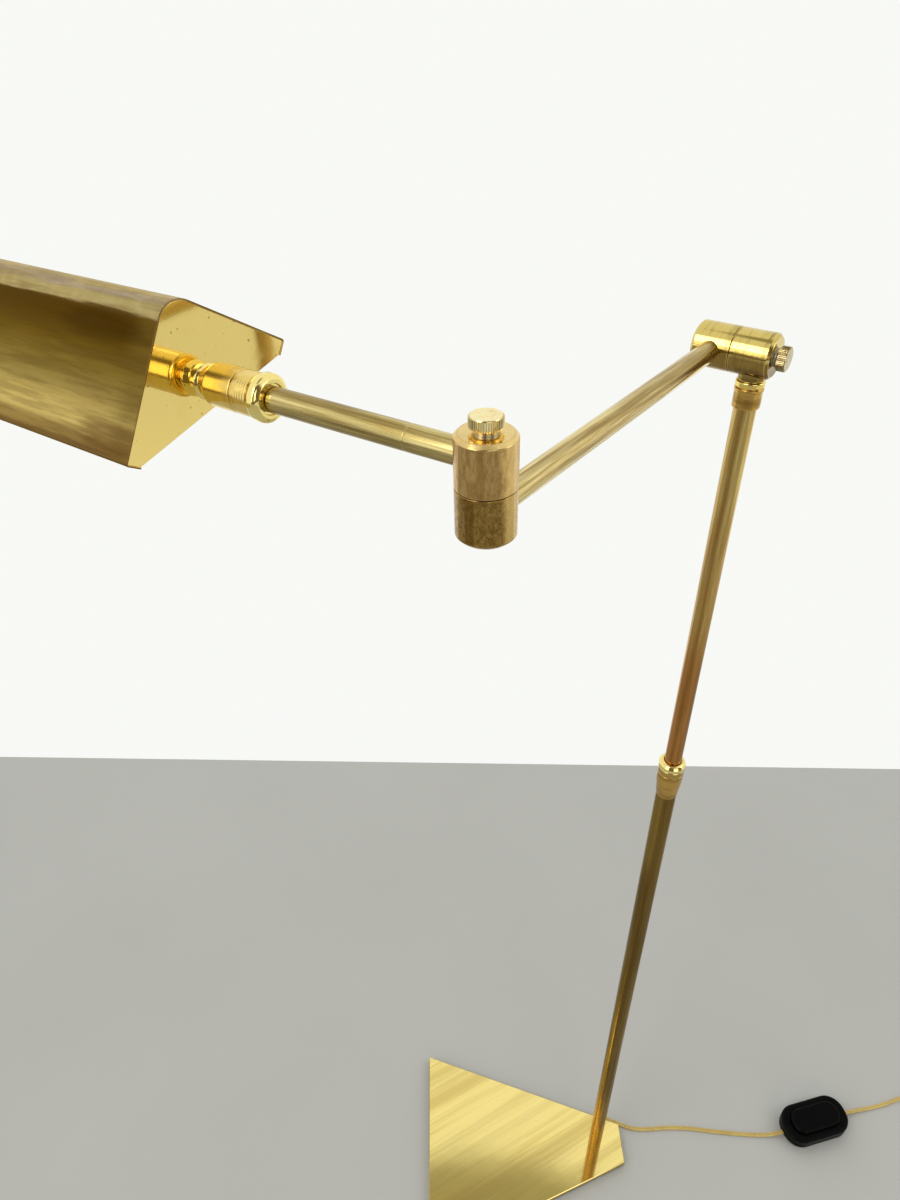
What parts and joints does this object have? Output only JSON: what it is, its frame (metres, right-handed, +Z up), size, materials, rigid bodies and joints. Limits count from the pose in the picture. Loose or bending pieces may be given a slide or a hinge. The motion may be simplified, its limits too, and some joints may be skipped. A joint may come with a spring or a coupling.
{
  "type": "floor reading lamp",
  "caption": "Swing-arm floor reading lamp: wedge base plate, telescopic pole, tilting and folding arm, rolling tent shade, and a foot switch on the flex.",
  "frame": {"origin": "on the floor under the pole's axis, on the underside of the base", "axes": "+Z up the pole, +X from the pole towards the side where the flex leaves, +Y to the back"},
  "size_m": [1.2186, 0.3227, 1.2905],
  "materials": {
    "brass_plate": "mirror-polished, fine scratches and pits",
    "brass_tube": "polished and lacquered, slightly tarnished",
    "brass_turned": "turned, satin to bright",
    "brass_joint": "turned, mottled brown tarnish with bright edges",
    "brass_shade": "sheet brass with brown-olive tarnish and lengthwise streaks",
    "felt": "pressed felt",
    "steel": "zinc plated",
    "nylon": "moulded",
    "fibre": "vulcanised fibre",
    "flex": "clear gold twin flex",
    "switch_black": "glossy black moulding",
    "plug_black": "moulded, fine matt grain",
    "rubber": "moulded",
    "nickel": "nickel plated",
    "holder": "ivory thermoplastic",
    "bulb": "clear to frosted glass",
    "contact_block": "moulded"
  },
  "bodies": {
    "stand": {"base_plate": "brass_plate", "base_felt": "felt", "pole_foot_plug": "steel", "base_nipple": "steel", "base_washer": "steel", "base_nut": "steel", "lower_tube": "brass_tube", "collet_body": "brass_turned", "pole_flex": "flex", "switch_base": "switch_black", "switch_cover": "switch_black", "switch_contacts": "contact_block", "switch_spring": "steel", "switch_feet": "rubber", "switch_screws": "steel", "cord_to_switch": "flex", "cord_to_coil": "flex", "cord_coil": "flex", "cord_to_plug": "flex", "plug_body": "plug_black", "plug_pins": "nickel"},
    "clamp_ring": {"clamp_ring": "brass_turned"},
    "guide_bush": {"guide_bush": "nylon"},
    "upper_pole": {"upper_tube": "brass_tube", "pole_ferrule": "brass_turned", "tilt_boss": "brass_joint", "tilt_knob_half": "brass_joint", "tilt_spring_washer": "steel", "upper_pole_flex": "flex"},
    "tilt_knob": {"tilt_knob": "brass_turned"},
    "arm_one": {"tilt_stud_half": "brass_joint", "elbow_stud_half": "brass_joint", "pivot_studs": "steel", "fibre_washers": "fibre", "arm_one_tube": "brass_tube", "arm_one_flex": "flex"},
    "elbow_knob": {"elbow_knob": "brass_turned"},
    "arm_two": {"elbow_knob_half": "brass_joint", "elbow_spring_washer": "steel", "arm_two_stub": "brass_tube", "arm_two_tube": "brass_tube", "arm_two_flex": "flex", "swivel_ring": "brass_turned", "swivel_sleeve": "brass_turned", "swivel_screw": "steel", "swivel_nut": "steel"},
    "shade": {"swivel_cup": "brass_turned", "swivel_spring_washer": "steel", "shade_neck": "brass_turned", "shade_washer": "steel", "shade_nut": "steel", "shade_shell": "brass_shade", "shade_front_plate": "brass_shade", "shade_end_plate": "brass_shade", "lamp_holder": "holder", "holder_ring": "holder", "holder_insert": "holder", "bulb_cap": "nickel", "bulb_glass": "bulb"},
    "switch_pad": {"switch_pad": "switch_black"}
  },
  "joints": [
    {"name": "clamp_turn", "type": "hinge", "parent": "stand", "child": "clamp_ring", "pos_m": [0, 0, 0.85], "axis": [0, 0, 1], "range_deg": [0, 120]},
    {"name": "pole_height", "type": "slide", "parent": "stand", "child": "guide_bush", "axis": [0, 0, 1], "range_m": [-0.3, 0.2]},
    {"name": "pole_swivel", "type": "hinge", "parent": "guide_bush", "child": "upper_pole", "pos_m": [0, 0, 1], "axis": [0, 0, 1], "range_deg": [-170, 170]},
    {"name": "arm_tilt", "type": "hinge", "parent": "upper_pole", "child": "arm_one", "pos_m": [-0.00974, 0.00783, 1.223], "axis": [0.7793, -0.6266, 0], "range_deg": [-60, 60]},
    {"name": "tilt_knob_turn", "type": "hinge", "parent": "upper_pole", "child": "tilt_knob", "pos_m": [-0.00974, 0.00783, 1.223], "axis": [0.7793, -0.6266, 0], "range_deg": [-90, 90]},
    {"name": "elbow_fold", "type": "hinge", "parent": "arm_one", "child": "arm_two", "pos_m": [-0.17488, -0.17761, 1.2355], "axis": [0, 0, 1], "range_deg": [-60, 230]},
    {"name": "elbow_knob_turn", "type": "hinge", "parent": "arm_two", "child": "elbow_knob", "pos_m": [-0.17488, -0.17761, 1.2355], "axis": [0, 0, 1], "range_deg": [-90, 90]},
    {"name": "shade_roll", "type": "hinge", "parent": "arm_two", "child": "shade", "pos_m": [-0.17488, -0.17761, 1.248], "axis": [-0.8218, 0.5697, 0], "range_deg": [-120, 120]},
    {"name": "switch_press", "type": "slide", "parent": "stand", "child": "switch_pad", "axis": [0, 0, -1], "range_m": [0, 0.003], "stiffness_N_per_m": 600, "deforming": ["switch_spring"]}
  ]
}
